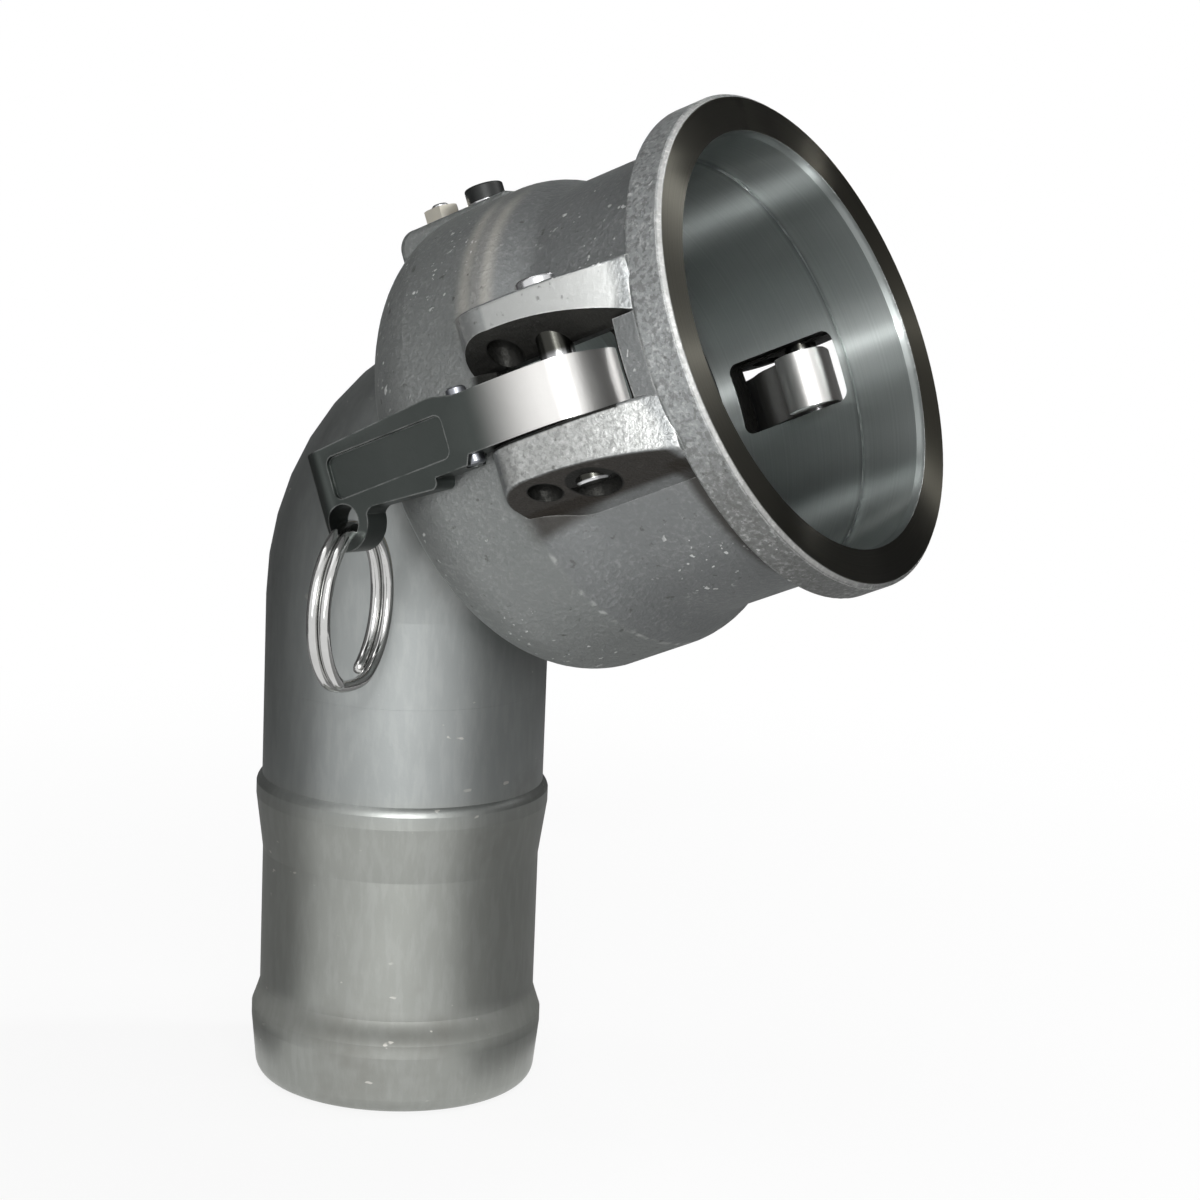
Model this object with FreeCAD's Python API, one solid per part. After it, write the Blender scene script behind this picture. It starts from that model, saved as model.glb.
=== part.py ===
import FreeCAD, Part
import math
import os

# Cam and groove coupler on a hose shank elbow. Millimetres, +Z up.
# Origin: centre of the hose shank's end face. The shank stands on the Z axis.
# The coupler's axis lies in the XZ plane and points to +X and up.

V = FreeCAD.Vector

# Driving dimensions: the pipe and the shank
PIPE_R = 33.0          # outer radius of the elbow and of the shank's plain run
PIPE_WALL = 4.5
SHANK_BORE_R = 28.0
BEND_R = 38.0          # centreline radius of the elbow
AXIS_RISE = 24.2       # degrees, coupler axis above the horizontal
FACE_X = 100.6         # centre of the coupler's front face
FACE_Z = 185.7
JOINT_Z = 96.0         # butt joint between shank and elbow
BARB_R = 34.3          # both hose barbs
NECK_R = 32.5          # plain neck between the barbs
BARB_UP_Z = 71.3       # crest of the upper barb
BARB_LOW_Z = 17.1      # crest of the lower barb
BARB_LAND = 3.0        # short cylindrical land on each crest
END_R = 3.6            # rounding of the shank's end

# Driving dimensions: the coupler bowl, s is the distance behind the front face
TURN = -5.0            # degrees, the lugs are turned about the coupler's axis
BORE_R = 46.2
ENTRY_EASE = 0.7       # the entry land is wider than the bore by this
ENTRY_S0 = 2.0         # end of the mouth's chamfer
ENTRY_S1 = 16.0        # end of the entry land
MOUTH_CHAMFER = 0.6    # radial
BARREL_WALL = 3.6
BARREL_S = 37.0        # end of the plain barrel
FLANGE_RISE = 6.2      # flange over the barrel
FLANGE_T = 9.0
BULGE_RISE = 4.2       # bulge over the barrel, round the gasket
BULGE_S0 = 53.0        # the bulge runs from here
BULGE_S1 = 69.0        # to here
BACK_S = 87.0          # rear face of the bowl, where the elbow is welded on
BACK_LAND = 4.5        # width of that face round the elbow
SEAT_S = 50.0          # front of the gasket's groove
SEAT_DEPTH = 1.0       # the gasket stands this far into the wall
GASKET_T = 6.4
GASKET_W = 9.1         # radial width
GASKET_EASE = 0.3      # play of the gasket along the axis
GROOVE_EASE = 0.3      # and round its rim
LIP_EASE = 0.9         # the waterway behind the gasket is wider than its hole by this
SOCKET_S = 82.0        # the elbow's end stands in the bowl up to here

# Driving dimensions: lugs, o is the distance out from the axis, h runs along the pins
EAR_GAP = 16.0
EAR_UP = 12.9          # thickness of the upper ear
EAR_LOW = 9.0          # thickness of the lower ear at its crest
EAR_LOW_FOOT = 18.0    # and at its root, the outer face slopes between them
EAR_END_S = 51.0
EAR_CREST = 8.6        # the ears rise this far outside the pin's axis
EAR_EDGE = 1.0
BEVEL_O = 2.4          # the upper ear's inner bevel starts this far outside the barrel
BEVEL_H = 7.2          # and takes this much off the crest's width
POCKET_S0 = 14.2       # front wall of the pocket between the ears
SLOT_S0 = 17.8         # the slot through the bowl's wall, from here
SLOT_S1 = 46.0         # to here
SLOT_W = 17.0
SLOT_ROUND = 2.5
PIN_R = 3.75
PIN_S = 29.9
PIN_RISE = 3.2         # pin's axis outside the barrel's surface
PIN_HEAD_R = 4.8
PIN_HEAD_T = 2.3
SPOT_R = 5.6           # round flat at the pin's lower end
SPOT_LOW = 20.6        # its distance from the middle of the gap
PIN_TAIL = 0.4         # the pin ends this far outside the flat
LOCK_R = 3.6           # second hole in each ear, for a safety pin through the closed arm
LOCK_S = 40.6
LOCK_RISE = 2.4        # outside the pin's axis
LOCK_EASE = 0.3        # the arm's own safety hole is larger by this

# Driving dimensions: cam arm, its widths are measured from the cam's middle
CAM_W = 13.0
CAM_BOSS_R = 5.4       # round the pin
CAM_TOP = 7.2          # the cam's outer face over the pin's axis
NOSE_R = 6.0
NOSE_AHEAD = 2.7       # centre of the nose, ahead of the pin
NOSE_IN = 6.9          # and nearer to the axis than the pin
ARM_SIDE = 0.3         # the arm lies on the lower ear with this gap
ARM_CLEAR = 1.0        # gap between the closed handle and the bulge
HANDLE_T = 7.0
HANDLE_END_S = 93.4
HANDLE_S = 58.5        # the handle has its full width from here
HANDLE_UP = 7.9
HANDLE_UP_END = 6.0    # it tapers to this at its end
HANDLE_LOW = 10.8
HANDLE_LOW_END = 9.4
PIN_FIT = 0.06         # running fit, radial
EYE_S = 87.2
EYE_H = -10.5
EYE_R = 6.4
EYE_HOLE_R = 3.9
PANEL_L = 31.0
PANEL_W = 9.4
PANEL_D = 1.0
PANEL_H = -0.9         # the panel's middle
PANEL_END = 6.0        # rim behind the panel
PANEL_ROUND = 1.8      # corners of the panel
NOTCH_S0 = 53.0        # step in the arm's lower edge, from here
NOTCH_S1 = 61.5        # to here
NOTCH_H = 8.6
CROSS_R = 2.2
CROSS_S = 53.0
CROSS_OUT = 1.9        # the cross pin's ends stand out of the arm by this
RING_R = 18.0          # centreline radius of the pull ring
RING_WIRE_R = 1.4
RING_PITCH = 2.92      # between the two turns' middles, a little over the wire
RING_STEP = 40.0       # degrees over which the wire steps from one turn to the other
RING_GAP = 6.0         # degrees between the step and each end of the wire
RING_LIFT = 1.4        # room the two turns need above the lowest place in the eye

# Driving dimensions: the bonding point on top of the bowl
PAD_S0 = 57.0
PAD_S1 = 91.0
PAD_W = 14.0
PAD_RISE = 1.3         # pad over the bulge
PAD_EDGE = 1.5
SCREW_S = 68.7
SCREW_R = 2.5
SCREW_L = 8.6          # under the head
HEAD_R = 4.5
HEAD_H = 3.8
HEX_AF = 4.0
HEX_D = 2.2
WASHER_R = 5.0
WASHER_T = 0.5
STUD_S = 81.3
STUD_R = 2.0
STUD_L = 12.0
STUD_DEEP = 7.5        # length of it inside the pad
NUT_AF = 7.6
NUT_H = 3.4

# Working values
SEAM = 0.02            # parts that touch are drawn this far apart
OVERLAP = 1.0          # joined shapes run this far into each other
REACH = 60.0           # length of tools that pass right through a wall

PIPE_IN_R = PIPE_R - PIPE_WALL
BARREL_R = BORE_R + BARREL_WALL
FLANGE_R = BARREL_R + FLANGE_RISE
BULGE_R = BARREL_R + BULGE_RISE
BACK_R = PIPE_R + BACK_LAND
GASKET_OR = BORE_R + SEAT_DEPTH
GASKET_IR = GASKET_OR - GASKET_W
GROOVE_R = GASKET_OR + GROOVE_EASE
PAD_TOP = BULGE_R + PAD_RISE
EAR_IN = EAR_GAP / 2
EAR_ROOT = BORE_R - 4
PIN_O = BARREL_R + PIN_RISE
LOCK_O = PIN_O + LOCK_RISE
CREST = PIN_O + EAR_CREST
ARM_H = ARM_SIDE + CAM_W / 2 - EAR_IN
HANDLE_IN = BULGE_R + ARM_CLEAR
HANDLE_OUT = HANDLE_IN + HANDLE_T
HANDLE_O = (HANDLE_IN + HANDLE_OUT) / 2


def coupler_place():
    """Placement from the coupler's own frame (face at x 0, bowl at -x) to the part's frame."""
    tilt = FreeCAD.Rotation(V(0, 1, 0), -AXIS_RISE)
    spin = FreeCAD.Rotation(V(1, 0, 0), TURN)
    return FreeCAD.Placement(V(FACE_X, 0, FACE_Z), tilt.multiply(spin))


def placed(shape):
    """A shape made in the coupler's own frame, moved to the part's frame."""
    out = shape.copy()
    out.Placement = coupler_place().multiply(out.Placement)
    return out


def outline(steps, at=None):
    """Closed wire. A step is a point, a pair of points for an arc, or a list for a smooth curve."""
    if at is None:
        def at(a, b):
            return V(a, 0, b)
    first = at(*steps[0])
    here = first
    edges = []
    for step in steps[1:]:
        if isinstance(step, list):
            curve = Part.BSplineCurve()
            curve.interpolate([here] + [at(*q) for q in step])
            edges.append(curve.toShape())
            end = at(*step[-1])
        elif isinstance(step[0], tuple):
            end = at(*step[1])
            edges.append(Part.Arc(here, at(*step[0]), end).toShape())
        else:
            end = at(*step)
            edges.append(Part.makeLine(here, end))
        here = end
    if here.distanceToPoint(first) > 1e-6:
        edges.append(Part.makeLine(here, first))
    return Part.Wire(edges)


def turned(steps):
    """Solid of revolution about X from (x, radius) steps."""
    return Part.Face(outline(steps)).revolve(V(0, 0, 0), V(1, 0, 0), 360)


def turned_z(steps):
    """Solid of revolution about Z from (radius, z) steps."""
    return Part.Face(outline(steps)).revolve(V(0, 0, 0), V(0, 0, 1), 360)


def slab(steps, h0, h1):
    """Outline in (s, o), extruded across the arms' pins from h0 to h1.

    In the coupler's frame s runs to -X, o runs to -Y and h runs to +Z.
    """
    face = Part.Face(outline(steps, lambda s, o: V(-s, -o, h0)))
    return face.extrude(V(0, 0, h1 - h0))


def cyl(r, length, pos, direction=V(0, 0, 1)):
    return Part.makeCylinder(r, length, pos, direction)


def drill(r, s, y):
    """Tool for a hole right through, along the arms' pins."""
    return cyl(r, REACH, V(-s, y, -REACH / 2))


def full_rims(body):
    """The full circles among a shape's edges."""
    return [e for e in body.Edges if e.Curve.TypeId == "Part::GeomCircle" and len(e.Vertexes) == 1]


def cham_cyl(r, length, pos, c):
    """Upright cylinder with both rims chamfered."""
    body = cyl(r, length, pos)
    return body.makeChamfer(c, full_rims(body))


def bowl_outside():
    ch = 1.0
    drop = BULGE_R - BACK_R
    steps = [
        (0, 0),
        (0, FLANGE_R - ch),
        (-ch, FLANGE_R),
        (-FLANGE_T + ch, FLANGE_R),
        ((-FLANGE_T + 0.3 * ch, FLANGE_R - 0.3 * ch), (-FLANGE_T, FLANGE_R - ch)),
        (-FLANGE_T, BARREL_R + 2),
        ((-FLANGE_T - 0.6, BARREL_R + 0.6), (-FLANGE_T - 2, BARREL_R)),
        (-BARREL_S, BARREL_R),
        ((-BARREL_S - 3, BARREL_R + 0.5), (-BARREL_S - 6, BARREL_R + 1.9)),
        ((-BULGE_S0 + 6, BULGE_R - 0.7), (-BULGE_S0, BULGE_R)),
        (-BULGE_S1, BULGE_R),
        ((-BULGE_S1 - 11, BULGE_R - 0.28 * drop), (-BACK_S + 1.5, BULGE_R - 0.76 * drop)),
        (-BACK_S, BACK_R),
        (-BACK_S, 0),
    ]
    return turned(steps)


def bowl_inside():
    """Everything that is hollow in the bowl, as one tool."""
    entry = BORE_R + ENTRY_EASE
    mouth = entry + MOUTH_CHAMFER
    lip = GASKET_IR + LIP_EASE
    socket = PIPE_R + 0.05
    groove_end = -SEAT_S - GASKET_T - GASKET_EASE
    steps = [
        (1, 0),
        (1, mouth + 0.3),
        (0, mouth),
        (-ENTRY_S0, entry),
        (-ENTRY_S1, entry),
        (-ENTRY_S1, BORE_R),
        (-SEAT_S, BORE_R),
        (-SEAT_S, GROOVE_R),
        (groove_end, GROOVE_R),
        (groove_end, lip),
        (-SOCKET_S + 14, lip),
        ((-SOCKET_S + 7, lip - 2.6), (-SOCKET_S + 0.5, PIPE_IN_R)),
        (-SOCKET_S, PIPE_IN_R),
        (-SOCKET_S, socket),
        (-BACK_S - 8, socket),
        (-BACK_S - 8, 0),
    ]
    return turned(steps)


def beyond(p1, p2, p3):
    """Large block on the outer side of the plane through three (s, o, h) points."""
    a, b, c = [V(-s, -o, h) for s, o, h in (p1, p2, p3)]
    normal = (b - a).cross(c - a)
    block = Part.makeBox(2 * REACH, 2 * REACH, REACH, V(-REACH, -REACH, 0))
    block.Placement = FreeCAD.Placement(a, FreeCAD.Rotation(V(0, 0, 1), normal))
    return block


def ear(rim, foot):
    """An ear above the pocket: flat inside, its outer face slopes from root to crest."""
    start = FLANGE_T - OVERLAP
    steps = [
        (start, EAR_ROOT),
        (start, FLANGE_R - 2.5),
        ((PIN_S - 8, CREST - 2.2), (LOCK_S - 1, CREST)),
        ((EAR_END_S - 2.4, CREST - 3.4), (EAR_END_S, CREST - 9)),
        (EAR_END_S, EAR_ROOT),
    ]
    body = slab(steps, EAR_IN, EAR_IN + foot + 5)
    top = EAR_IN + rim
    slope = beyond((0, CREST, top), (0, EAR_ROOT, EAR_IN + foot), (REACH, CREST, top))
    body = body.cut(slope)
    curved = [e for e in body.Edges if e.Curve.TypeId != "Part::GeomLine"]
    return body.makeFillet(EAR_EDGE, curved)


def upper_ear():
    """The upper ear, its inner rim bevelled from the barrel to the crest."""
    start = BARREL_R + BEVEL_O
    bevel = beyond((0, start, EAR_IN), (0, CREST, EAR_IN + BEVEL_H), (REACH, start, EAR_IN))
    return ear(EAR_UP, EAR_UP).cut(bevel)


def lower_ear():
    return ear(EAR_LOW, EAR_LOW_FOOT).mirror(V(0, 0, 0), V(0, 0, 1))


def bond_pad():
    """Raised pad for the earthing screw, on the bowl's rear shoulder."""
    under = PAD_TOP - 14.3
    steps = [
        (PAD_S0 - 4, PAD_TOP - 7.3),
        (PAD_S0, PAD_TOP - 1.5),
        (PAD_S0 + 3, PAD_TOP),
        (PAD_S1 - 5, PAD_TOP),
        ((PAD_S1 - 1.2, PAD_TOP - 1.3), (PAD_S1, PAD_TOP - 4.5)),
        (PAD_S1, PAD_TOP - 8.5),
        (PAD_S1 - 5.5, under),
        (PAD_S0 + 8, under),
    ]
    body = slab(steps, -PAD_W / 2, PAD_W / 2)
    body.rotate(V(0, 0, 0), V(1, 0, 0), -90)
    flat = [e for e in body.Edges if e.BoundBox.YLength < 0.01]
    sides = [e for e in flat if e.BoundBox.ZMax > PAD_TOP - 5.3 and e.Length > 3]
    return body.makeFillet(PAD_EDGE, sides)


def lug():
    """Two ears and the web between them, on the near side."""
    corner = V(-POCKET_S0, -REACH, -EAR_IN - OVERLAP)
    body = Part.makeBox(POCKET_S0 - FLANGE_T + OVERLAP, REACH, EAR_GAP + 2 * OVERLAP, corner)
    body = body.common(cyl(FLANGE_R - 0.6, REACH, V(0, 0, 0), V(-1, 0, 0)))
    for piece in (upper_ear(), lower_ear()):
        body = body.fuse(piece)
    return body


def lug_cuts():
    """Tools for the near lug: slot, pocket, pin hole, safety hole, flat at the pin's end."""
    depth = BARREL_R - EAR_ROOT
    slot = Part.makeBox(SLOT_S1 - SLOT_S0, depth, SLOT_W, V(-SLOT_S1, -BARREL_R, -SLOT_W / 2))
    corners = [e for e in slot.Edges if e.BoundBox.YLength > depth - 0.1]
    cuts = [slot.makeFillet(SLOT_ROUND, corners)]
    pocket = Part.makeBox(SLOT_S1 - POCKET_S0, REACH, EAR_GAP, V(-SLOT_S1, -BARREL_R - REACH, -EAR_IN))
    cuts.append(pocket)
    cuts.append(drill(PIN_R + SEAM, PIN_S, -PIN_O))
    cuts.append(drill(LOCK_R, LOCK_S, -LOCK_O))
    cuts.append(cyl(SPOT_R, REACH, V(-PIN_S, -PIN_O, -SPOT_LOW - REACH)))
    return cuts


def coupler_body():
    body = bowl_outside()
    near = lug()
    far = near.copy()
    far.rotate(V(0, 0, 0), V(1, 0, 0), 180)
    for piece in (near, far, bond_pad()):
        body = body.fuse(piece)
    cuts = [bowl_inside()]
    for tool in lug_cuts():
        other = tool.copy()
        other.rotate(V(0, 0, 0), V(1, 0, 0), 180)
        cuts.append(tool)
        cuts.append(other)
    cuts.append(cyl(SCREW_R + 0.05, REACH, V(-SCREW_S, 0, PAD_TOP - SCREW_L - 0.4)))
    cuts.append(cyl(STUD_R + 0.05, REACH, V(-STUD_S, 0, PAD_TOP - STUD_DEEP - 0.5)))
    for tool in cuts:
        body = body.cut(tool)
    return placed(body.removeSplitter())


def gasket():
    c = 0.8
    s0 = SEAT_S + GASKET_EASE / 2
    s1 = s0 + GASKET_T
    steps = [
        (-s0 - c, GASKET_IR),
        (-s0, GASKET_IR + c),
        (-s0, GASKET_OR - c),
        (-s0 - c, GASKET_OR),
        (-s1 + c, GASKET_OR),
        (-s1, GASKET_OR - c),
        (-s1, GASKET_IR + c),
        (-s1 + c, GASKET_IR),
    ]
    return placed(turned(steps))


def elbow_run():
    """Centreline of the elbow: straight, bend, short straight into the bowl."""
    rise = math.radians(AXIS_RISE)
    axis = V(math.cos(rise), 0, math.sin(rise))
    s_meet = FACE_X / axis.x
    corner = V(0, 0, FACE_Z - axis.z * s_meet)
    bend = math.radians(90 - AXIS_RISE)
    tangent = BEND_R * math.tan(bend / 2)
    low = V(0, 0, JOINT_Z)
    start = corner - V(0, 0, tangent)
    end = corner + axis * tangent
    centre = start + V(BEND_R, 0, 0)
    mid = centre + V(-BEND_R * math.cos(bend / 2), 0, BEND_R * math.sin(bend / 2))
    tip = V(FACE_X, 0, FACE_Z) - axis * (SOCKET_S + 0.2)
    arc = Part.Arc(start, mid, end).toShape()
    wire = Part.Wire([Part.makeLine(low, start), arc, Part.makeLine(end, tip)])
    return wire, low


def elbow_tube(r):
    wire, low = elbow_run()
    rim = Part.Wire(Part.makeCircle(r, low, V(0, 0, 1)))
    return wire.makePipeShell([rim], True, True)


def elbow_pipe():
    return elbow_tube(PIPE_R).cut(elbow_tube(PIPE_IN_R))


def bowl_weld():
    """Fillet weld between the bowl's rear face and the elbow."""
    leg = 4.2
    bulk = 0.62 * leg
    steps = [
        (-BACK_S - SEAM, PIPE_R - 1.5),
        (-BACK_S - SEAM, PIPE_R + leg),
        ((-BACK_S - bulk, PIPE_R + bulk), (-BACK_S - leg, PIPE_R - 1.5)),
    ]
    bead = placed(turned(steps))
    bead = bead.cut(elbow_tube(PIPE_R + SEAM))
    return max(bead.Solids, key=lambda s: s.Volume)


def hose_shank():
    low = BARB_LOW_Z
    up = BARB_UP_Z
    steps = [
        (SHANK_BORE_R, 0),
        (PIPE_R - END_R - 0.4, 0),
        ((PIPE_R - 1.0, 1.2), (PIPE_R + 0.2, END_R)),
        (BARB_R, low - BARB_LAND),
        (BARB_R, low),
        ((BARB_R - 0.5, low + 1.4), (NECK_R, low + 5.4)),
        (NECK_R, up - 16),
        (BARB_R, up - BARB_LAND),
        (BARB_R, up),
        ((BARB_R - 0.4, up + 1.0), (PIPE_R, up + 2.0)),
        (PIPE_R, JOINT_Z - SEAM),
        (SHANK_BORE_R, JOINT_Z - SEAM),
    ]
    return turned_z(steps)


def arm_side():
    """The arm seen along its pin, closed: nose to the axis, boss round the pin, handle to the rear."""
    nose_s = PIN_S - NOSE_AHEAD
    nose_o = PIN_O - NOSE_IN
    reach = math.hypot(NOSE_AHEAD, NOSE_IN)
    lean = math.atan2(NOSE_AHEAD, NOSE_IN) + math.asin((CAM_BOSS_R - NOSE_R) / reach)
    out_s = math.cos(lean)
    out_o = math.sin(lean)
    boss_front = (PIN_S - CAM_BOSS_R * out_s, PIN_O + CAM_BOSS_R * out_o)
    nose_front = (nose_s - NOSE_R * out_s, nose_o + NOSE_R * out_o)
    top = (PIN_S, PIN_O + CAM_TOP)
    end = HANDLE_END_S
    steps = [
        top,
        [
            (PIN_S + 6, PIN_O + CAM_TOP + 0.9),
            (PIN_S + 14, HANDLE_OUT - 0.5),
            (PIN_S + 22, HANDLE_OUT),
        ],
        (end - 5, HANDLE_OUT),
        ((end - 1.2, HANDLE_OUT - 0.9), (end, HANDLE_OUT - 3)),
        (end, HANDLE_IN + 1.4),
        ((end - 0.4, HANDLE_IN + 0.4), (end - 1.4, HANDLE_IN)),
        (PIN_S + 18, HANDLE_IN),
        [
            (PIN_S + 14.5, HANDLE_IN - 1.6),
            (PIN_S + 10, HANDLE_IN - 5.2),
            (nose_s + NOSE_R + 1.4, nose_o + 1.6),
            (nose_s + NOSE_R * 0.8, nose_o - NOSE_R * 0.6),
        ],
        ((nose_s - NOSE_R * 0.2, nose_o - NOSE_R * 0.98), nose_front),
        boss_front,
        [
            (PIN_S - 0.8 * CAM_BOSS_R, PIN_O + 0.75 * CAM_BOSS_R),
            (PIN_S - 0.4 * CAM_BOSS_R, PIN_O + 0.9 * CAM_TOP),
            top,
        ],
    ]
    return slab(steps, EYE_H - EYE_R - OVERLAP, HANDLE_UP + OVERLAP)


def arm_top():
    """The arm seen from outside: slim cam, wider handle, eye at the lower corner."""
    a = CAM_W / 2
    end = HANDLE_END_S + 1
    steps = [
        (PIN_S - 14, -a),
        (PIN_S - 14, a),
        (CROSS_S - 1, a),
        [(CROSS_S + 2, a + 0.7), (HANDLE_S, HANDLE_UP)],
        (end - 3, HANDLE_UP_END),
        ((end - 1.2, HANDLE_UP_END - 0.8), (end - 0.6, HANDLE_UP_END - 3)),
        (end, 0),
        (end, EYE_H),
        (EYE_S - EYE_R, EYE_H),
        ((EYE_S - EYE_R - 0.6, EYE_H + 0.6), (EYE_S - EYE_R - 2.2, -HANDLE_LOW_END)),
        (NOTCH_S1 + 1.6, -HANDLE_LOW),
        ((NOTCH_S1 + 0.4, 0.5 - HANDLE_LOW), (NOTCH_S1, 1.6 - HANDLE_LOW)),
        (NOTCH_S1, -NOTCH_H),
        (NOTCH_S0, -NOTCH_H),
        (NOTCH_S0 - 1, -a),
    ]
    outside = -PIN_O - 33
    face = Part.Face(outline(steps, lambda s, h: V(-s, outside, h)))
    eye = cyl(EYE_R, REACH, V(-EYE_S, outside, EYE_H), V(0, 1, 0))
    return face.extrude(V(0, REACH, 0)).fuse(eye)


def arm_panel():
    """Tool for the bare recessed panel on the handle."""
    corner = V(PANEL_END - HANDLE_END_S, PANEL_D - HANDLE_OUT - 3, PANEL_H - PANEL_W / 2)
    body = Part.makeBox(PANEL_L, 3, PANEL_W, corner)
    ups = [e for e in body.Edges if e.BoundBox.YLength > 2]
    return body.makeFillet(PANEL_ROUND, ups)


def cam_arm_shape():
    """The arm in the coupler's own frame, with its cam's middle at h 0."""
    arm = arm_side().common(arm_top())
    cuts = [
        arm_panel(),
        drill(PIN_R + PIN_FIT, PIN_S, -PIN_O),
        drill(LOCK_R + LOCK_EASE, LOCK_S, -LOCK_O),
        drill(CROSS_R + SEAM, CROSS_S, -HANDLE_O),
        cyl(EYE_HOLE_R, REACH, V(-EYE_S, -PIN_O - 23, EYE_H), V(0, 1, 0)),
    ]
    for tool in cuts:
        arm = arm.cut(tool)
    return arm.removeSplitter()


def pivot_pin_shape():
    """Pin with a low head on the upper ear."""
    low = -SPOT_LOW - PIN_TAIL
    face = EAR_IN + EAR_UP + SEAM
    pin = cham_cyl(PIN_R, face + OVERLAP - low, V(-PIN_S, -PIN_O, low), 0.5)
    head = cyl(PIN_HEAD_R, PIN_HEAD_T, V(-PIN_S, -PIN_O, face))
    top = [e for e in full_rims(head) if e.BoundBox.ZMin > face + PIN_HEAD_T / 2]
    return pin.fuse(head.makeFillet(0.7, top))


def cross_pin_shape():
    half = CAM_W / 2 + CROSS_OUT
    return cham_cyl(CROSS_R, 2 * half, V(-CROSS_S, -HANDLE_O, -half), 0.4)


def sided(shape, far, shift=0.0):
    """The coupler's two sides are the same parts, half a turn apart about its axis.

    On both sides the arms have slid down their pins by the shift.
    """
    out = shape.copy()
    if far:
        out.rotate(V(0, 0, 0), V(1, 0, 0), 180)
    out.translate(V(0, 0, shift))
    return placed(out)


def eye_centre(far):
    """Middle of the ring's hole in the arm, in the part's frame."""
    p = V(-EYE_S, -HANDLE_O, EYE_H)
    if far:
        p = V(-EYE_S, HANDLE_O, -EYE_H)
    return coupler_place().multVec(p + V(0, 0, ARM_H))


def on_ring(degrees, up):
    """Point on the ring's centreline circle and the way round it there."""
    a = math.radians(degrees)
    return V(RING_R * math.cos(a), RING_R * math.sin(a), up), V(-math.sin(a), math.cos(a), 0)


def ring_path():
    """Centreline of the wire: one flat turn, a step over, then the second flat turn."""
    half, up = RING_STEP / 2, RING_PITCH / 2
    start, way = on_ring(half + RING_GAP, -up)
    first = Part.Arc(start, on_ring(180, -up)[0], on_ring(-half, -up)[0])
    # the step leaves one turn and meets the other with no kink
    stops = [(-half, -up), (-half / 2, -0.69 * up), (0, 0), (half / 2, 0.69 * up), (half, up)]
    step = Part.BSplineCurve()
    step.interpolate(
        [on_ring(degrees, height)[0] for degrees, height in stops],
        InitialTangent=on_ring(-half, 0)[1],
        FinalTangent=on_ring(half, 0)[1],
    )
    second = Part.Arc(on_ring(half, up)[0], on_ring(180, up)[0], on_ring(-half - RING_GAP, up)[0])
    return Part.Wire([first.toShape(), step.toShape(), second.toShape()]), start, way


def pull_ring(far):
    """Split ring of two turns, hanging in its hole; its plane stands across the arm."""
    path, start, way = ring_path()
    rim = Part.Wire(Part.makeCircle(RING_WIRE_R, start, way))
    ring = path.makePipeShell([rim], True, True)
    # the ring's axis goes to +X, its split to the bottom
    ring.rotate(V(0, 0, 0), V(0, 1, 0), 90)
    drop = RING_R + EYE_HOLE_R - RING_WIRE_R - RING_LIFT
    ring.translate(eye_centre(far) - V(0, 0, drop))
    return ring


def hex_prism(af, height, pos):
    corner = V(af / math.sqrt(3), 0, 0)
    pts = [FreeCAD.Rotation(V(0, 0, 1), 60 * k).multVec(corner) for k in range(7)]
    body = Part.Face(Part.makePolygon(pts)).extrude(V(0, 0, height))
    body.translate(pos)
    return body


def bond_washer():
    base = V(-SCREW_S, 0, PAD_TOP + SEAM / 2)
    ring = cyl(WASHER_R, WASHER_T, base)
    return placed(ring.cut(cyl(SCREW_R + 0.2, WASHER_T, base)))


def bond_screw():
    base = V(-SCREW_S, 0, PAD_TOP + WASHER_T + SEAM)
    head = cyl(HEAD_R, HEAD_H, base)
    top = [e for e in full_rims(head) if e.BoundBox.ZMin > base.z + HEAD_H / 2]
    head = head.makeFillet(0.5, top)
    head = head.cut(hex_prism(HEX_AF, HEAD_H, base + V(0, 0, HEAD_H - HEX_D)))
    stem = cyl(SCREW_R, SCREW_L, base - V(0, 0, SCREW_L))
    return placed(head.fuse(stem))


def bond_stud():
    return placed(cham_cyl(STUD_R, STUD_L, V(-STUD_S, 0, PAD_TOP - STUD_DEEP), 0.4))


def bond_nut():
    """Hexagon nut with its upper corners chamfered."""
    base = V(-STUD_S, 0, PAD_TOP + SEAM)
    cone_r = NUT_AF / 2 + 0.2
    cone = Part.makeCone(cone_r + 2 * NUT_H, cone_r, NUT_H, base)
    nut = hex_prism(NUT_AF, NUT_H, base).common(cone)
    return placed(nut.cut(cyl(STUD_R + SEAM, NUT_H, base)))


def main():
    os.makedirs("parts", exist_ok=True)
    parts = {
        "coupler_body": coupler_body(),
        "gasket": gasket(),
        "elbow_pipe": elbow_pipe(),
        "bowl_weld": bowl_weld(),
        "hose_shank": hose_shank(),
        "bond_screw": bond_screw(),
        "bond_washer": bond_washer(),
        "bond_stud": bond_stud(),
        "bond_nut": bond_nut(),
    }
    for side in ("near", "far"):
        far = side == "far"
        parts["cam_arm_" + side] = sided(cam_arm_shape(), far, ARM_H)
        parts["pivot_pin_" + side] = sided(pivot_pin_shape(), far)
        parts["cross_pin_" + side] = sided(cross_pin_shape(), far, ARM_H)
        parts["pull_ring_" + side] = pull_ring(far)
    for name, shape in parts.items():
        shape.exportStep("parts/" + name + ".step")


main()
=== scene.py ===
import math

import bmesh
import bpy
from mathutils import Matrix, Vector


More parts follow.
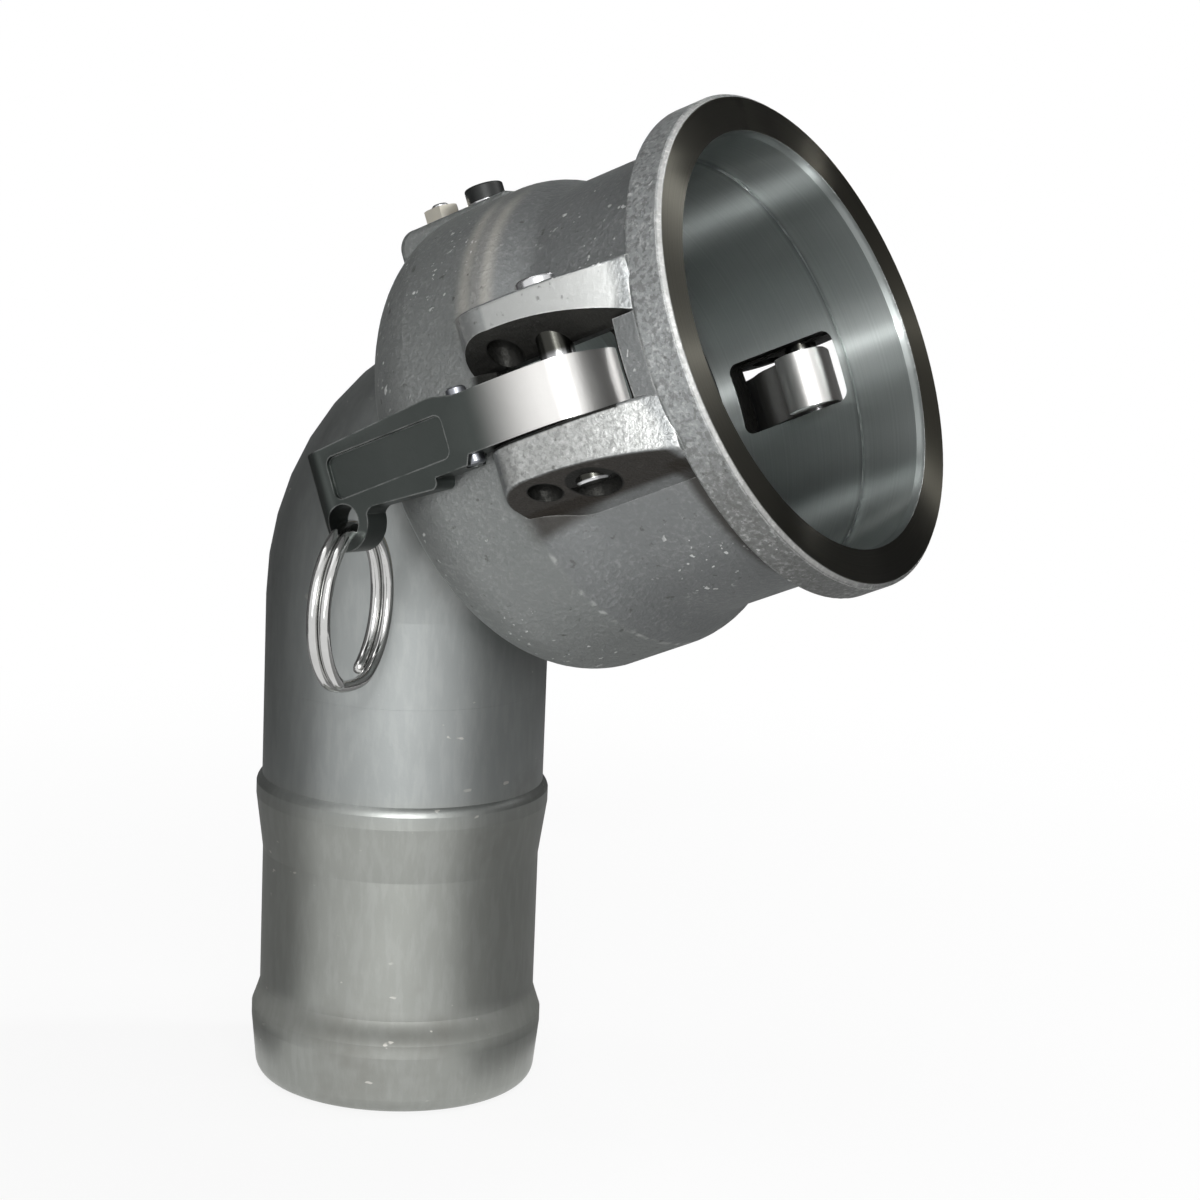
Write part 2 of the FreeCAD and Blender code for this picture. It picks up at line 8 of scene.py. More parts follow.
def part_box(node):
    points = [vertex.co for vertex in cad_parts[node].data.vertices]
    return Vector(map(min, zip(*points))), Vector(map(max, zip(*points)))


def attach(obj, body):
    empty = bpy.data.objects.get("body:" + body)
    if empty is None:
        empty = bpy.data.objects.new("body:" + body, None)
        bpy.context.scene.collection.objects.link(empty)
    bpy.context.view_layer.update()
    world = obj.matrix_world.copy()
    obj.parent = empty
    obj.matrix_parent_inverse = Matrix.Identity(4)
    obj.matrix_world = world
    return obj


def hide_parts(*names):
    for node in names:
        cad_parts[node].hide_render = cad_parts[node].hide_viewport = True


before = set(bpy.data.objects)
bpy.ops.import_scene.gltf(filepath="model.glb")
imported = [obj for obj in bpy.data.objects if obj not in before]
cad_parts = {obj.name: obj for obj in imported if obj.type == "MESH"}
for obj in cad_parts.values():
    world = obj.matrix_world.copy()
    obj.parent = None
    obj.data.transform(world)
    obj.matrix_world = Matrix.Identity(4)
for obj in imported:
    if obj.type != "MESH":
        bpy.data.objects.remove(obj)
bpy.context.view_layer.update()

# Cam and groove coupler on an elbow hose shank, closed, as it stands on its shank.
# Metres, +Z up along the shank, the coupler's mouth towards +X and up.

# The coupler's own frame, as the solids have it
RISE = math.radians(24.2)
TURN = math.radians(-5.0)
FACE = Vector((0.1006, 0.0, 0.1857))
SPIN = Matrix.Rotation(-RISE, 3, "Y") @ Matrix.Rotation(TURN, 3, "X")
MOUTH_WAY = SPIN @ Vector((1, 0, 0))
PIN_WAY = SPIN @ Vector((0, 0, 1))
NEAR_WAY = SPIN @ Vector((0, -1, 0))

# Sizes of the coupler; S is measured behind the front face, O out to either side
BORE_R = 0.0470
LAND_S = 0.0160
LAND_LINE = 0.0010
FLANGE_R = 0.0560
FLANGE_T = 0.0090
EAR_IN = 0.0080
PIN_S = 0.0299
PIN_O = 0.0530
PIN_HEAD_R = 0.0057
LOCK_S = 0.0406
LOCK_O = 0.0554
LOCK_R = 0.0037
HOLE_EDGE = 1.08
NOSE_END_O = 0.0477
HEAD_END_O = 0.0603

# Camera as fitted to the photo: turns in degrees, lens in millimetres
PHOTO_TURN = (29.54, 11.19, -2.34)
PHOTO_EYE = (0.42274, -0.65514, 0.27067)
SENSOR_WIDTH = 36
LENS_LENGTH = 102

# Soft edges of the casting's zones, from start to end
CREST_RADIUS = (0.0560, 0.0572)
CREST_BEHIND = (FLANGE_T, FLANGE_T + 0.0030)
CREST_TURNED = (0.80, 0.93)
TIP_BEHIND = (0.0392, 0.0402)
PAST_FLANGE = (FLANGE_T, FLANGE_T + 0.0020)
UNDER_TURNED = (0.45, 0.85)
UNDER_RADIUS = (0.0510, 0.0530)
UNDER_ALONG = (-0.0275, -0.0262)
SHADED_TURNED = (0.20, 0.55)
SHADED_RADIUS = (0.0480, 0.0500)
UPPER_ALONG = (0.0, 0.0020)
LOW_ALONG = (-0.0150, -0.0120)
BARREL_RADIUS = (0.0545, 0.0555)
FOOT_SLOPE = 0.226
FOOT_LINE = (-0.0182, -0.0152)
FOOT_OUT = (0.0300, 0.0340)
FOOT_BEHIND = (0.0480, 0.0540)
CREASE_BEHIND = (FLANGE_T + 0.0042, FLANGE_T + 0.0070)
FLANGE_BACK = (FLANGE_T - 0.0004, FLANGE_T + 0.0002)
RIM_RADIUS = (FLANGE_R - 0.0012, FLANGE_R - 0.0004)
RIM_BEHIND = (0.0085, 0.0095)
RIM_LOW_ALONG = (-0.0360, -0.0120)
SPOT_ALONG = (-0.0120, -0.0110)
FRONT_BEHIND = (0.0498, 0.0508)
BELT_LINES = ((0.0522, 0.0032), (0.0472, 0.0028))
BELT_WASH = (0.0497, 0.0060)
BELT_LOW = (0.0150, 0.0250)
BELT_HIGH = (0.0440, 0.0540)
RIDGE_S = 0.0506
RIDGE_WIDTH = (0.0002, 0.0009)
RIDGE_ALONG = (-0.0330, -0.0300)
POCKET_ALONG = (EAR_IN + 0.0006, EAR_IN + 0.0010)
POCKET_START = (0.0168, 0.0174)
POCKET_END = (0.0500, 0.0530)
POCKET_RADIUS = (0.04632, 0.04645)
POCKET_OUT = (0.0400, 0.0410)

# Soft edges of the turned parts
BORE_RADIUS = (BORE_R + 0.0002, BORE_R + 0.0006)
FACE_BEHIND = (0.00005, 0.00020)
LIP_RADIUS = (FLANGE_R - 0.0012, FLANGE_R - 0.0008)
LIP_SIDE = (-0.0050, 0.0300)
LIP_BEHIND = (0.0006, 0.0009)
FAR_FACE_SIDE = (-0.0450, -0.0100)
HANDLED_ALONG = (0.0360, 0.0410)
HANDLED_SIDE = (-0.0120, 0.0)

# Soft edges on the tube, the arms and the pins; Z is the height over the table
SHADOW_BEHIND = (0.0870, 0.0990)
SHADOW_ALONG = (-0.0020, 0.0100)
WARM_Z = (0.0660, 0.0780)
BARB_SLOPE = (0.0195, 0.0065)
CAM_BEHIND = (0.0320, 0.0500)
PIN_UNDER_EAR = ((0.0050, 0.0075), (0.0150, 0.0160))
PIN_TAIL = ((-0.0207, -0.0203), (-0.0180, -0.0170))
PIN_UNDER_TURNED = (0.80, 0.95)

# Colours: a pair runs from the dark to the light end of a slow cloud
CAST_PAIR = ((0.20, 0.215, 0.21), (0.33, 0.34, 0.335))
# Flange rim: its own colour above, then the same rim painted darker as shade towards the bottom
RIM_PAIR = ((0.37, 0.385, 0.385), (0.22, 0.225, 0.22))
BORE_PAIR = ((0.33, 0.36, 0.35), (0.50, 0.53, 0.525))
FACE_PAIR = ((0.050, 0.050, 0.042), (0.105, 0.10, 0.085))
TUBE_PAIR = ((0.26, 0.27, 0.265), (0.38, 0.39, 0.385))
TUBE_TINTS = ((1.0, 1.0, 0.955), (0.98, 1.0, 1.005))
ARM_DARK_PAIR = ((0.052, 0.060, 0.056), (0.090, 0.098, 0.094))
ARM_BRIGHT_PAIR = ((0.72, 0.71, 0.69), (0.87, 0.86, 0.84))
PIN_PAIR = ((0.55, 0.56, 0.57), (0.72, 0.72, 0.73))

# Tones laid over them: how strongly, and the colour; then how much of the dots, belt and grains shows
FRONT_TONE = (0.35, (0.20, 0.205, 0.215))
# Painted highlight bands round the top of the bowl
BELT_HIGHLIGHT_TONE = (1.0, (0.58, 0.56, 0.51))
# Ears' crests: lighter for their ground finish and partly a painted highlight; their rounded tips get a
# weaker painted highlight
CREST_GROUND_AND_HIGHLIGHT_TONE = (1.0, (0.47, 0.48, 0.47))
TIP_WEAKER_HIGHLIGHT_TONE = (1.0, (0.30, 0.31, 0.305))
GRAIN_TONE = (1.0, (0.88, 0.89, 0.88))
DOT_TONE = (1.0, (0.14, 0.142, 0.135))
SPARK_TONE = (1.0, (0.90, 0.91, 0.90))
PIT_TONE = (0.6, (0.10, 0.10, 0.095))
# Painted shade on the undersides of the ears
UNDERSIDE_SHADE_TONE = (0.90, (0.044, 0.038, 0.032))
SHADED_TONE = (0.55, (0.030, 0.032, 0.030))
# Painted shade below the lower ear's foot and in the crease behind the flange
FOOT_AND_CREASE_SHADE_TONE = (0.80, (0.044, 0.038, 0.032))
# Painted highlight along the lower edge of the bulge
RIDGE_HIGHLIGHT_TONE = (0.5, (0.75, 0.76, 0.74))
RUBBED_TONE = (1.0, (0.84, 0.84, 0.82))
# Painted shade in the lock hole, the lower spot face and the pocket
HOLLOW_SHADE_TONE = (1.0, (0.030, 0.030, 0.028))
# Painted highlight on the front face's outer lip, near side
LIP_HIGHLIGHT_TONE = (1.0, (0.80, 0.80, 0.78))
# Painted shade along the land's step in the bore
LAND_SHADE_TONE = (0.55, (0.15, 0.16, 0.155))
# Painted shade on the far side of the front face
FAR_FACE_SHADE_TONE = (0.7, (0.026, 0.024, 0.018))
HANDLED_TONE = (0.6, (0.20, 0.195, 0.165))
SMEAR_TONE = (0.35, (0.33, 0.34, 0.33))
STROKE_TONE = (0.14, (0.50, 0.51, 0.50))
# Painted shade on the barb's slope, dimming its highlight
SLOPE_SHADE_TONE = (0.30, (0.15, 0.15, 0.14))
STAIN_TONE = (0.55, (0.19, 0.185, 0.165))
NICK_TONE = (0.6, (0.72, 0.70, 0.66))
SHADOW_TONE = (0.78, (0.045, 0.045, 0.040))
ARM_WEAR_TONE = (0.6, (0.45, 0.46, 0.45))
# Painted shade on the pins under the ears and at their lower ends
PIN_SHADE_TONE = (1.0, (0.045, 0.045, 0.040))
DOTS_ON_RIM = 0.44
DOTS_ON_LOW_CREST = 0.34
BELT_WASH_SHARE = 0.45
BELT_CLOUDS = (0.40, 0.85)
GRAINS_PLAIN = 0.13
GRAINS_RUBBED = 0.42
GRAINS_SMOOTH = 0.08
SPARKS_SHARE = 0.8
RUBBED_EDGES = 0.55
RUBBED_RIM = 0.95

# Roughness, from low to high or as one value
CAST_ROUGH = (0.40, 0.50)
CREST_ROUGH = 0.44
BORE_ROUGH = 0.30
FACE_ROUGH = 0.42
TUBE_ROUGH = (0.38, 0.52)
SLOPE_ROUGH = 0.85
ARM_ROUGH = (0.36, 0.46)
CAM_ROUGH = 0.40
PIN_ROUGH = (0.16, 0.30)

# Relief: depth and strength of the bump, and how much of it the smoother parts keep
CAST_RELIEF = (0.00022, 0.8)
SATIN_RELIEF = (0.00003, 0.6)
PIN_RELIEF = (0.00002, 0.5)
SMOOTH_SHARE = 0.12
BORE_SHARE = 0.08
FACE_SHARE = 0.06

# Scale of the fine grain that scatters the highlights on the cast skin
SKIN_GRAIN = 9000

# Plain mottled finishes: metallic, roughness, size of the clouds, colour pair, roughness from low
# to high, and the tooth's depth and strength
PLAIN_FINISHES = {
    "weld_steel": (
        1.0, 0.35, 120.0, ((0.42, 0.41, 0.38), (0.30, 0.24, 0.17)), (0.25, 0.45), (0.00004, 0.5),
    ),
    "dull_pin_steel": (
        1.0, 0.34, 180.0, ((0.20, 0.21, 0.23), (0.32, 0.33, 0.36)), (0.28, 0.42), (0.00002, 0.5),
    ),
    "plated_ring_wire": (
        1.0, 0.12, 200.0, ((0.50, 0.50, 0.49), (0.66, 0.66, 0.65)), (0.07, 0.20), (0.00001, 0.4),
    ),
    "black_oxide": (
        0.6, 0.42, 260.0, ((0.012, 0.013, 0.013), (0.035, 0.037, 0.036)), (0.34, 0.50), (0.00003, 0.5),
    ),
    "pale_brass": (
        1.0, 0.30, 240.0, ((0.86, 0.84, 0.77), (0.74, 0.68, 0.54)), (0.24, 0.38), (0.00002, 0.5),
    ),
    "nitrile_rubber": (
        0.0, 0.62, 90.0, ((0.012, 0.012, 0.012), (0.028, 0.028, 0.027)), (0.52, 0.70), (0.00005, 0.5),
    ),
}

# Cam's head: rows cut across its front, what counts as on it, and the curve that they are laid on
HEAD_ROWS = 9
HEAD_ROW_START = 0.0490
HEAD_ROW_STEP = 0.0012
PIN_CLEARANCE = 0.0047
SAME_SPOT = 0.000002
ON_PIN_LINE = 0.00002
CUT_SLACK = 0.0000001
DRUM_STOPS = ((0.02145, 0.0478), (0.0233, 0.0540), (0.02515, 0.0595), (0.0299, 0.0602))

# Split ring: radius of its middle line, half the step between its turns, wire, drop in the eye,
# and in degrees where the wire starts and ends, where and how far it steps over, and how it hangs
RING_R = 0.0174
RING_HALF = 0.00136
RING_WIRE_R = 0.0013
RING_DROP = 0.0014
RING_TURNS = (26, 694)
RING_STEP_OVER = (340, 40)
RING_HANG = {"near": 11, "far": -7}

# Lamps: azimuth, elevation, distance, size, power; the aimed one also has its cone and its target
MIDDLE = (0.04, 0, 0.13)
LAMPS = {
    "key_box": (36, 24, 1.3, (0.7, 0.7), 5),
    "top_box": (-20, 75, 1.4, (1.0, 1.0), 1.5),
    "front_box": (24, 8, 1.6, (0.5, 1.0), 4),
    "small_flash": (31, 21, 1.3, (0.05, 0.05), 5.5),
    "ceiling_strip": (130, 52, 0.9, (0.08, 0.4), 3.0),
    "low_strip": (108, -5, 0.34, (0.012, 0.05), 0.011, 22, (0.07, 0, 0.20)),
    "dome_strip": (-70, 62, 0.8, (0.10, 0.40), 0.35),
}

# Upright flags: start and end azimuth, radius, low and high edge, shade
UPRIGHT_FLAGS = {
    "flag_left": (-36, -80, 0.34, 0.002, 0.60, 0.18),
    "flag_back_left": (-80, -150, 0.34, 0.002, 0.60, 0.07),
    "flag_right": (82, 140, 0.36, 0.002, 0.28, 0.14),
    "flag_back_right": (140, 210, 0.36, 0.002, 0.60, 0.07),
}
FLAG_ABOVE = ([(-0.5, -0.1, 0.75), (0.6, -0.1, 0.75), (-0.5, 0.8, 0.70), (0.6, 0.8, 0.70)], 0.25)
LOW_FLAG_TURN = (75, 245)
LOW_FLAG_RADII = (0.045, 0.34)
LOW_FLAG_Z = 0.0012
LOW_FLAG_SHADE = 0.30
FLOOR_HALF = 6.0


# Camera

def camera_turn(azimuth, elevation, roll):
    a, e, r = (math.radians(v) for v in (azimuth, elevation, roll))
    back = Vector((math.sin(a) * math.cos(e), -math.cos(a) * math.cos(e), math.sin(e)))
    right = Vector((math.cos(a), math.sin(a), 0))
    up = back.cross(right)
    turned_right = right * math.cos(r) - up * math.sin(r)
    turned_up = right * math.sin(r) + up * math.cos(r)
    return Matrix((turned_right, turned_up, back)).transposed()


def place_camera():
    lens = bpy.data.cameras.new("photo_view")
    lens.sensor_width = SENSOR_WIDTH
    lens.lens = LENS_LENGTH
    eye = bpy.data.objects.new("photo_view", lens)
    eye.matrix_world = camera_turn(*PHOTO_TURN).to_4x4()
    eye.location = PHOTO_EYE
    bpy.context.collection.objects.link(eye)
    bpy.context.scene.camera = eye


# Node helpers

def node(tree, kind, **settings):
    made = tree.nodes.new(kind)
    for name, value in settings.items():
        setattr(made, name, value)
    return made


def link(tree, source, target):
    tree.links.new(source, target)


def feed(tree, value, socket):
    """Gives a socket its value, from another socket or as a number or vector."""
    if isinstance(value, (int, float)):
        socket.default_value = value
    elif isinstance(value, (tuple, Vector)):
        socket.default_value = tuple(value)
    else:
        link(tree, value, socket)


def maths(tree, operation, a, b=None):
    """Math node; a and b are sockets or numbers."""
    made = node(tree, "ShaderNodeMath", operation=operation)
    feed(tree, a, made.inputs[0])
    if b is not None:
        feed(tree, b, made.inputs[1])
    return made.outputs[0]


def vector_maths(tree, operation, a, b=None):
    made = node(tree, "ShaderNodeVectorMath", operation=operation)
    feed(tree, a, made.inputs[0])
    if b is not None:
        feed(tree, b, made.inputs[1])
    return made.outputs["Value" if operation in ("DOT_PRODUCT", "LENGTH") else "Vector"]


def times(tree, first, *others):
    """Product of sockets and numbers."""
    for other in others:
        first = maths(tree, "MULTIPLY", first, other)
    return first


def most(tree, first, *others):
    """The greatest of some sockets."""
    for other in others:
        first = maths(tree, "MAXIMUM", first, other)
    return first


def opposite(tree, value):
    return maths(tree, "SUBTRACT", 1.0, value)


def above(tree, value, edge):
    """0 below the soft edge, 1 above it, smooth between its start and its end."""
    made = node(tree, "ShaderNodeMapRange", interpolation_type="SMOOTHSTEP")
    link(tree, value, made.inputs["Value"])
    made.inputs["From Min"].default_value = edge[0]
    made.inputs["From Max"].default_value = edge[1]
    return made.outputs["Result"]


def below(tree, value, edge):
    """1 below the soft edge, 0 above it."""
    return opposite(tree, above(tree, value, edge))


def soft_line(tree, value, middle, width):
    """1 at the middle, fading to 0 at width on either side."""
    off = maths(tree, "ABSOLUTE", maths(tree, "SUBTRACT", value, middle))
    return below(tree, off, (0.0, width))


def spread(tree, value, low, high):
    """A 0 to 1 value laid over low to high."""
    made = node(tree, "ShaderNodeMapRange")
    link(tree, value, made.inputs["Value"])
    made.inputs["To Min"].default_value = low
    made.inputs["To Max"].default_value = high
    return made.outputs["Result"]


def mix_colour(tree, factor, a, b):
    made = node(tree, "ShaderNodeMix", data_type="RGBA")
    feed(tree, factor, made.inputs[0])
    for socket, value in zip(made.inputs[6:8], (a, b)):
        feed(tree, (*value, 1) if isinstance(value, tuple) else value, socket)
    return made.outputs[2]


def mix_value(tree, factor, a, b):
    made = node(tree, "ShaderNodeMix", data_type="FLOAT")
    for socket, value in zip((made.inputs[0], made.inputs[2], made.inputs[3]), (factor, a, b)):
        feed(tree, value, socket)
    return made.outputs[0]


def lay(tree, base, mask, tone):
    """Lays a tone over base where the mask is 1."""
    strength, colour = tone
    return mix_colour(tree, times(tree, mask, strength), base, colour)


def noise(tree, place, scale, detail=3.0, rough=0.5):
    made = node(tree, "ShaderNodeTexNoise")
    link(tree, place, made.inputs["Vector"])
    feed(tree, scale, made.inputs["Scale"])
    made.inputs["Detail"].default_value = detail
    made.inputs["Roughness"].default_value = rough
    return made.outputs["Fac"]


# Shared effects

VECTOR = "NodeSocketVector"
NUMBER = "NodeSocketFloat"
GROUPS = {}


def new_group(name, inputs, outputs):
    """Empty node group; inputs are (name, kind) or (name, kind, default), outputs are numbers."""
    tree = bpy.data.node_groups.new(name, "ShaderNodeTree")
    for entry in inputs:
        socket = tree.interface.new_socket(entry[0], in_out="INPUT", socket_type=entry[1])
        if len(entry) > 2:
            socket.default_value = entry[2]
    for output in outputs:
        tree.interface.new_socket(output, in_out="OUTPUT", socket_type=NUMBER)
    GROUPS[name] = tree
    return tree, node(tree, "NodeGroupInput"), node(tree, "NodeGroupOutput")


def use_group(tree, name, **given):
    made = node(tree, "ShaderNodeGroup", node_tree=GROUPS[name])
    for key, value in given.items():
        feed(tree, value, made.inputs[key])
    return made.outputs


def measure_place(tree, place):
    """Where a point is in the coupler's own frame, in metres.

    Behind is measured from the front face, Radius from the axis, Out is the distance to either
    side and Along runs up the arms' pins.
    """
    away = vector_maths(tree, "SUBTRACT", place, FACE)
    across = vector_maths(tree, "CROSS_PRODUCT", away, MOUTH_WAY)
    sideways = vector_maths(tree, "DOT_PRODUCT", away, NEAR_WAY)
    return {
        "Behind": vector_maths(tree, "DOT_PRODUCT", away, -MOUTH_WAY),
        "Radius": vector_maths(tree, "LENGTH", across),
        "Out": maths(tree, "ABSOLUTE", sideways),
        "Along": vector_maths(tree, "DOT_PRODUCT", away, PIN_WAY),
    }


def build_coupler_place():
    """The same measures for every material that has zones."""
    tree, given, out = new_group("coupler_place", [("Place", VECTOR)], ("Behind", "Radius", "Out", "Along"))
    for name, value in measure_place(tree, given.outputs["Place"]).items():
        link(tree, value, out.inputs[name])


def build_edge_wear():
    """1 along the rounded edges, broken up as handling leaves it, and 0 on the flats."""
    tree, given, out = new_group(
        "edge_wear",
        [("Place", VECTOR), ("Width", NUMBER, 0.0006), ("Breaks", NUMBER, 260.0)],
        ("Worn",),
    )
    round_normal = node(tree, "ShaderNodeBevel", samples=4)
    link(tree, given.outputs["Width"], round_normal.inputs["Radius"])
    flat_normal = node(tree, "ShaderNodeNewGeometry").outputs["Normal"]
    agree = vector_maths(tree, "DOT_PRODUCT", round_normal.outputs["Normal"], flat_normal)
    rim = below(tree, agree, (0.86, 0.985))
    broken = above(tree, noise(tree, given.outputs["Place"], given.outputs["Breaks"]), (0.28, 0.60))
    link(tree, times(tree, rim, broken), out.inputs["Worn"])


def build_cast_skin():
    """Blasted casting: fine grain, bright worn grains, bright chips, open pits and slow clouding."""
    tree, given, out = new_group(
        "cast_skin",
        [("Place", VECTOR), ("Grain", NUMBER, 1500.0)],
        ("Height", "Grains", "Sparks", "Pits", "Cloud"),
    )
    place = given.outputs["Place"]
    fine = noise(tree, place, given.outputs["Grain"], 3, 0.6)
    coarse = noise(tree, place, 420, 3, 0.6)
    patches = above(tree, noise(tree, place, 60, 4, 0.6), (0.35, 0.65))
    chips = noise(tree, vector_maths(tree, "MULTIPLY", place, (1.0, 1.0, 0.55)), 620, 2, 0.5)
    chipped = above(tree, noise(tree, place, 38, 3), (0.50, 0.60))
    made = {
        "Height": maths(tree, "ADD", fine, times(tree, coarse, 1.2)),
        "Grains": times(tree, above(tree, fine, (0.46, 0.74)), spread(tree, patches, 0.35, 1.0)),
        "Sparks": times(tree, above(tree, chips, (0.66, 0.70)), chipped),
        "Pits": below(tree, coarse, (0.26, 0.36)),
        "Cloud": noise(tree, place, 20, 4, 0.55),
    }
    for name, value in made.items():
        link(tree, value, out.inputs[name])


def build_turned_marks():
    """Fine lines left by turning or brushing, across the value Along."""
    tree, given, out = new_group(
        "turned_marks",
        [("Along", NUMBER), ("Place", VECTOR), ("Pitch", NUMBER, 0.0004)],
        ("Height", "Tone"),
    )
    lines = node(tree, "ShaderNodeTexNoise", noise_dimensions="1D")
    link(tree, maths(tree, "DIVIDE", given.outputs["Along"], given.outputs["Pitch"]), lines.inputs["W"])
    lines.inputs["Scale"].default_value = 1.0
    lines.inputs["Detail"].default_value = 2
    drift = noise(tree, given.outputs["Place"], 45, 2)
    link(tree, lines.outputs["Fac"], out.inputs["Height"])
    link(tree, mix_value(tree, 0.5, lines.outputs["Fac"], drift), out.inputs["Tone"])


def build_soft_mottle():
    """Handled satin metal: slow clouds, faint smears and fine tooth."""
    tree, given, out = new_group(
        "soft_mottle",
        [("Place", VECTOR), ("Size", NUMBER, 30.0)],
        ("Cloud", "Smear", "Tooth"),
    )
    place = given.outputs["Place"]
    stretched = vector_maths(tree, "MULTIPLY", place, (1.0, 1.0, 0.16))
    link(tree, noise(tree, place, given.outputs["Size"], 4), out.inputs["Cloud"])
    link(tree, noise(tree, stretched, 160, 3, 0.6), out.inputs["Smear"])
    link(tree, noise(tree, place, 1500, 2, 0.5), out.inputs["Tooth"])


# Materials

def start_material(name, metallic, roughness):
    mat = bpy.data.materials.new(name)
    mat.use_nodes = True
    tree = mat.node_tree
    shader = tree.nodes["Principled BSDF"]
    shader.inputs["Metallic"].default_value = metallic
    shader.inputs["Roughness"].default_value = roughness
    place = node(tree, "ShaderNodeTexCoord").outputs["Object"]
    return mat, tree, shader, place


def finish_surface(tree, shader, colour, rough, height, distance, strength):
    """Feeds the shader its colour and roughness, and the height as a bump."""
    link(tree, colour, shader.inputs["Base Color"])
    link(tree, rough, shader.inputs["Roughness"])
    made = node(tree, "ShaderNodeBump")
    made.inputs["Strength"].default_value = strength
    made.inputs["Distance"].default_value = distance
    link(tree, height, made.inputs["Height"])
    link(tree, made.outputs["Normal"], shader.inputs["Normal"])


def turned_to(tree, way):
    """1 where the surface faces along way, from its own normal, and -1 where it faces against it."""
    own = node(tree, "ShaderNodeTexCoord").outputs["Normal"]
    return vector_maths(tree, "DOT_PRODUCT", own, way)


def near_hole(tree, where, s, o, radius):
    """1 close round a hole that runs along the pins, s behind the face and o out."""
    along = maths(tree, "SUBTRACT", where["Behind"], s)
    across = maths(tree, "SUBTRACT", where["Out"], o)
    square = maths(tree, "ADD", times(tree, along, along), times(tree, across, across))
    return below(tree, square, (radius ** 2, (radius * HOLE_EDGE) ** 2))


def in_pocket(tree, where):
    """1 on the walls of the slot and on the pocket's floor between the ears, which get painted shade."""
    beside = maths(tree, "ABSOLUTE", where["Along"])
    return times(
        tree,
        below(tree, beside, POCKET_ALONG),
        above(tree, where["Behind"], POCKET_START),
        below(tree, where["Behind"], POCKET_END),
        above(tree, where["Radius"], POCKET_RADIUS),
        above(tree, where["Out"], POCKET_OUT),
    )


def turned_parts(tree, place, where):
    """Masks of the bore, the front face and the face's outer lip, where a highlight is painted on the near
    side, and the distance to the near side.
    """
    side = vector_maths(tree, "DOT_PRODUCT", vector_maths(tree, "SUBTRACT", place, FACE), NEAR_WAY)
    bore = times(tree, below(tree, where["Radius"], BORE_RADIUS), opposite(tree, in_pocket(tree, where)))
    lip = times(
        tree,
        above(tree, where["Radius"], LIP_RADIUS),
        above(tree, side, LIP_SIDE),
        below(tree, where["Behind"], LIP_BEHIND),
    )
    face = times(tree, below(tree, where["Behind"], FACE_BEHIND), opposite(tree, lip))
    return bore, face, lip, side


def brushed_way(tree, place, bore, face):
    """Direction that draws the highlight out: across the turning lines, at random on the skin."""
    away = vector_maths(tree, "SUBTRACT", place, FACE)
    round_way = vector_maths(tree, "CROSS_PRODUCT", away, MOUTH_WAY)
    outwards = vector_maths(tree, "CROSS_PRODUCT", MOUTH_WAY, round_way)
    grain = node(tree, "ShaderNodeTexNoise")
    link(tree, place, grain.inputs["Vector"])
    grain.inputs["Scale"].default_value = SKIN_GRAIN
    random_way = vector_maths(tree, "SUBTRACT", grain.outputs["Color"], (0.5, 0.5, 0.5))
    way = mix_colour(tree, bore, random_way, tuple(MOUTH_WAY))
    return mix_colour(tree, face, way, outwards)


def cast_zones(tree, where):
    """Masks of the casting's zones: ground crests, rims, and the places where highlight and shade are
    painted.
    """
    behind, radius, out, along = (where[name] for name in ("Behind", "Radius", "Out", "Along"))
    down = turned_to(tree, -PIN_WAY)
    straight_out = maths(tree, "ABSOLUTE", turned_to(tree, NEAR_WAY))
    upper = above(tree, along, UPPER_ALONG)
    past_flange = above(tree, behind, PAST_FLANGE)
    crest = times(
        tree,
        above(tree, straight_out, CREST_TURNED),
        above(tree, radius, CREST_RADIUS),
        above(tree, behind, CREST_BEHIND),
    )
    # Painted shade: faces of the ears turned down, beyond the flange
    under = times(
        tree,
        above(tree, down, UNDER_TURNED),
        above(tree, radius, UNDER_RADIUS),
        past_flange,
        above(tree, along, UNDER_ALONG),
    )
    # Painted shade below the lower ear's foot, and in the crease behind the flange
    foot = maths(tree, "ADD", along, times(tree, behind, FOOT_SLOPE))
    foot_and_crease_shade = times(
        tree,
        above(tree, foot, FOOT_LINE),
        above(tree, out, FOOT_OUT),
        below(tree, behind, FOOT_BEHIND),
    )
    low_barrel = times(tree, below(tree, along, LOW_ALONG), below(tree, radius, BARREL_RADIUS))
    foot_and_crease_shade = most(tree, foot_and_crease_shade, below(tree, behind, CREASE_BEHIND))
    foot_and_crease_shade = times(tree, foot_and_crease_shade, low_barrel, above(tree, behind, FLANGE_BACK))
    spot = near_hole(tree, where, PIN_S, PIN_O, PIN_HEAD_R)
    smooth = times(tree, crest, upper)
    return {
        "crest": crest,
        "low_crest": times(tree, crest, opposite(tree, upper)),
        "smooth": smooth,
        "tip": times(tree, smooth, above(tree, behind, TIP_BEHIND)),
        "under": under,
        "shaded": times(
            tree, above(tree, down, SHADED_TURNED), upper, above(tree, radius, SHADED_RADIUS), past_flange
        ),
        "foot_and_crease_shade": foot_and_crease_shade,
        "rim": times(tree, above(tree, radius, RIM_RADIUS), below(tree, behind, RIM_BEHIND)),
        "rim_low_shade": below(tree, along, RIM_LOW_ALONG),
        "front": below(tree, behind, FRONT_BEHIND),
        "hollow": most(
            tree,
            near_hole(tree, where, LOCK_S, LOCK_O, LOCK_R),
            times(tree, spot, below(tree, along, SPOT_ALONG)),
            in_pocket(tree, where),
        ),
    }


